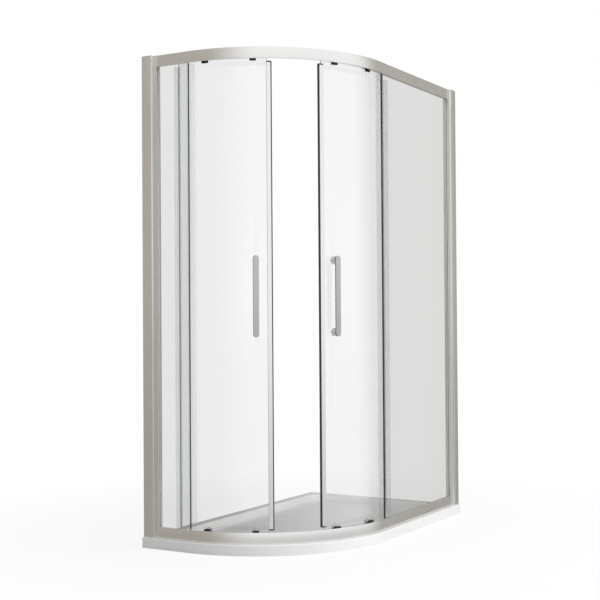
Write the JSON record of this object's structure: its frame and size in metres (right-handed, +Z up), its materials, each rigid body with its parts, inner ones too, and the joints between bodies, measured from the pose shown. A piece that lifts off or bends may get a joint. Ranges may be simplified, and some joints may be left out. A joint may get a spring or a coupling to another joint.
{
  "type": "quadrant shower enclosure",
  "caption": "Offset quadrant shower enclosure: curved sliding glass doors, flat glass side panels, aluminium rails and posts, bar handles and a slim white tray.",
  "frame": {"origin": "middle of the tray's underside box, on the floor", "axes": "+Z up, +Y towards the wall of the long side, +X towards the wall of the short end, curved front towards -X -Y"},
  "size_m": [1.31, 0.77, 1.892],
  "materials": {
    "tray_gloss_white": "glossy white acrylic skin over a stone resin core",
    "rail_aluminium": "bright polished and anodised extrusion with fine draw lines",
    "clear_glass": "clear toughened glass with polished edges",
    "clear_vinyl": "soft clear extruded seal",
    "magnet_vinyl": "soft black strip round a magnet",
    "grey_rubber": "matt grey rubber",
    "moulded_grey": "smooth moulded cap",
    "chrome_plate": "bright chrome plate",
    "steel_screw": "turned stainless steel",
    "nylon_wheel": "moulded nylon"
  },
  "bodies": {
    "frame": {"shower_tray": "tray_gloss_white", "waste_flange": "moulded_grey", "bottom_rail": "rail_aluminium", "top_rail": "rail_aluminium", "left_wall_channel": "rail_aluminium", "right_wall_channel": "rail_aluminium", "left_wall_post": "rail_aluminium", "right_wall_post": "rail_aluminium", "channel_caps": "moulded_grey", "left_fixed_glass": "clear_glass", "right_fixed_glass": "clear_glass", "left_glazing_gasket": "grey_rubber", "right_glazing_gasket": "grey_rubber", "left_fixed_glass_seal": "clear_vinyl", "right_fixed_glass_seal": "clear_vinyl", "post_screws": "steel_screw", "rail_end_brackets": "steel_screw", "rail_end_screws": "steel_screw", "door_stops": "grey_rubber"},
    "waste_cover": {"waste_cover": "chrome_plate"},
    "left_door": {"left_door_glass": "clear_glass", "left_edge_profile": "rail_aluminium", "left_edge_profile_caps": "moulded_grey", "left_magnet_seal": "magnet_vinyl", "left_trailing_seal": "clear_vinyl", "left_handle_bar": "chrome_plate", "left_handle_legs": "chrome_plate", "left_handle_discs": "chrome_plate", "left_door_screws": "steel_screw", "left_top_brackets": "chrome_plate", "left_top_axles": "chrome_plate", "left_bottom_brackets": "chrome_plate", "left_release_housings": "chrome_plate"},
    "left_top_wheel_front": {"left_top_wheel_front": "nylon_wheel"},
    "left_release_slider_front": {"left_release_slider_front": "chrome_plate"},
    "left_bottom_wheel_front": {"left_bottom_wheel_front": "nylon_wheel"},
    "left_top_wheel_rear": {"left_top_wheel_rear": "nylon_wheel"},
    "left_release_slider_rear": {"left_release_slider_rear": "chrome_plate"},
    "left_bottom_wheel_rear": {"left_bottom_wheel_rear": "nylon_wheel"},
    "right_door": {"right_door_glass": "clear_glass", "right_edge_profile": "rail_aluminium", "right_edge_profile_caps": "moulded_grey", "right_magnet_seal": "magnet_vinyl", "right_trailing_seal": "clear_vinyl", "right_handle_bar": "chrome_plate", "right_handle_legs": "chrome_plate", "right_handle_discs": "chrome_plate", "right_door_screws": "steel_screw", "right_top_brackets": "chrome_plate", "right_top_axles": "chrome_plate", "right_bottom_brackets": "chrome_plate", "right_release_housings": "chrome_plate"},
    "right_top_wheel_front": {"right_top_wheel_front": "nylon_wheel"},
    "right_release_slider_front": {"right_release_slider_front": "chrome_plate"},
    "right_bottom_wheel_front": {"right_bottom_wheel_front": "nylon_wheel"},
    "right_top_wheel_rear": {"right_top_wheel_rear": "nylon_wheel"},
    "right_release_slider_rear": {"right_release_slider_rear": "chrome_plate"},
    "right_bottom_wheel_rear": {"right_bottom_wheel_rear": "nylon_wheel"}
  },
  "joints": [
    {"name": "waste_cover_lift", "type": "slide", "parent": "frame", "child": "waste_cover", "axis": [0, 0, 1], "range_m": [0, 0.03]},
    {"name": "left_door_travel", "type": "hinge", "parent": "frame", "child": "left_door", "pos_m": [-0.083, 0.184, 0.965], "axis": [0, 0, -1], "range_deg": [-8.82, 13]},
    {"name": "left_top_wheel_front_spin", "type": "hinge", "parent": "left_door", "child": "left_top_wheel_front", "pos_m": [-0.55753, -0.07085, 1.8663], "axis": [-0.8838, -0.468, 0], "range_deg": [-720, 720]},
    {"name": "left_release_slider_front_press", "type": "slide", "parent": "left_door", "child": "left_release_slider_front", "axis": [0, 0, -1], "range_m": [0, 0.006], "stiffness_N_per_m": 600, "springref_m": -0.004},
    {"name": "left_bottom_wheel_front_spin", "type": "hinge", "parent": "left_release_slider_front", "child": "left_bottom_wheel_front", "pos_m": [-0.55753, -0.07085, 0.0637], "axis": [-0.8838, -0.468, 0], "range_deg": [-720, 720]},
    {"name": "left_top_wheel_rear_spin", "type": "hinge", "parent": "left_door", "child": "left_top_wheel_rear", "pos_m": [-0.61432, 0.11038, 1.8663], "axis": [-0.9928, -0.1202, 0], "range_deg": [-710, 710]},
    {"name": "left_release_slider_rear_press", "type": "slide", "parent": "left_door", "child": "left_release_slider_rear", "axis": [0, 0, -1], "range_m": [0, 0.006], "stiffness_N_per_m": 600, "springref_m": -0.004},
    {"name": "left_bottom_wheel_rear_spin", "type": "hinge", "parent": "left_release_slider_rear", "child": "left_bottom_wheel_rear", "pos_m": [-0.61432, 0.11038, 0.0637], "axis": [-0.9928, -0.1202, 0], "range_deg": [-710, 710]},
    {"name": "right_door_travel", "type": "hinge", "parent": "frame", "child": "right_door", "pos_m": [-0.075, 0.228, 0.965], "axis": [0, 0, 1], "range_deg": [-10.17, 13]},
    {"name": "right_top_wheel_front_spin", "type": "hinge", "parent": "right_door", "child": "right_top_wheel_front", "pos_m": [-0.3238, -0.29616, 1.8663], "axis": [-0.4352, -0.9003, 0], "range_deg": [-770, 770]},
    {"name": "right_release_slider_front_press", "type": "slide", "parent": "right_door", "child": "right_release_slider_front", "axis": [0, 0, -1], "range_m": [0, 0.006], "stiffness_N_per_m": 600, "springref_m": -0.004},
    {"name": "right_bottom_wheel_front_spin", "type": "hinge", "parent": "right_release_slider_front", "child": "right_bottom_wheel_front", "pos_m": [-0.3238, -0.29616, 0.0637], "axis": [-0.4352, -0.9003, 0], "range_deg": [-770, 770]},
    {"name": "right_top_wheel_rear_spin", "type": "hinge", "parent": "right_door", "child": "right_top_wheel_rear", "pos_m": [-0.14061, -0.34627, 1.8663], "axis": [-0.0837, -0.9965, 0], "range_deg": [-770, 770]},
    {"name": "right_release_slider_rear_press", "type": "slide", "parent": "right_door", "child": "right_release_slider_rear", "axis": [0, 0, -1], "range_m": [0, 0.006], "stiffness_N_per_m": 600, "springref_m": -0.004},
    {"name": "right_bottom_wheel_rear_spin", "type": "hinge", "parent": "right_release_slider_rear", "child": "right_bottom_wheel_rear", "pos_m": [-0.14061, -0.34627, 0.0637], "axis": [-0.0837, -0.9965, 0], "range_deg": [-770, 770]}
  ],
  "couplings": [
    {"joint": "left_top_wheel_front_spin", "follows": "left_door_travel", "ratio": 53.863},
    {"joint": "left_bottom_wheel_front_spin", "follows": "left_door_travel", "ratio": -53.863},
    {"joint": "left_top_wheel_rear_spin", "follows": "left_door_travel", "ratio": 53.64},
    {"joint": "left_bottom_wheel_rear_spin", "follows": "left_door_travel", "ratio": -53.64},
    {"joint": "right_top_wheel_front_spin", "follows": "right_door_travel", "ratio": -58.021},
    {"joint": "right_bottom_wheel_front_spin", "follows": "right_door_travel", "ratio": 58.021},
    {"joint": "right_top_wheel_rear_spin", "follows": "right_door_travel", "ratio": -57.801},
    {"joint": "right_bottom_wheel_rear_spin", "follows": "right_door_travel", "ratio": 57.801}
  ]
}
